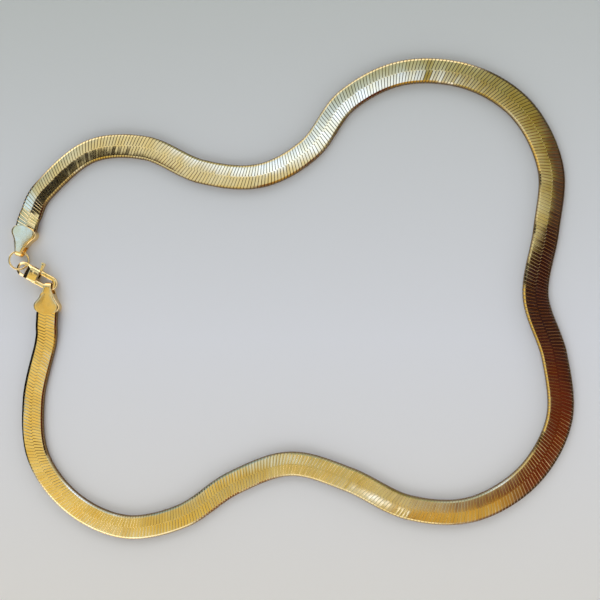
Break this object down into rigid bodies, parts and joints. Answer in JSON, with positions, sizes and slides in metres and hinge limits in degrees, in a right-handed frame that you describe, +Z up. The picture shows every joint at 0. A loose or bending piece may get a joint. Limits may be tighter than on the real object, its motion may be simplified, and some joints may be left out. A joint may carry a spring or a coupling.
{
  "type": "herringbone chain necklace",
  "caption": "Flat gold herringbone necklace lying closed in a wavy loop, with spade-shaped end caps, a jump ring and a lobster claw clasp with a sprung lever.",
  "frame": {"origin": "middle of the laid-out necklace, on the surface it lies on", "axes": "+Z up from the surface, +X towards the side away from the clasp, +Y towards the upper cap's side"},
  "size_m": [0.1462, 0.1236, 0.003],
  "materials": {
    "chain_gold": "polished ribs",
    "cap_gold": "satin",
    "clasp_gold": "polished"
  },
  "bodies": {
    "necklace": {"herringbone_band": "chain_gold", "end_cap_upper": "cap_gold", "end_cap_lower": "cap_gold", "jump_ring": "clasp_gold", "clasp_claw": "clasp_gold", "lever_rivet": "clasp_gold"},
    "lever": {"clasp_lever": "clasp_gold"}
  },
  "joints": [
    {"name": "lever_pivot", "type": "hinge", "parent": "necklace", "child": "lever", "pos_m": [-0.06613, 0.00876, 0.0013], "axis": [0, 0, 1], "range_deg": [-22, 0], "stiffness_Nm_per_rad": 0.01, "springref_deg": 5.73}
  ]
}
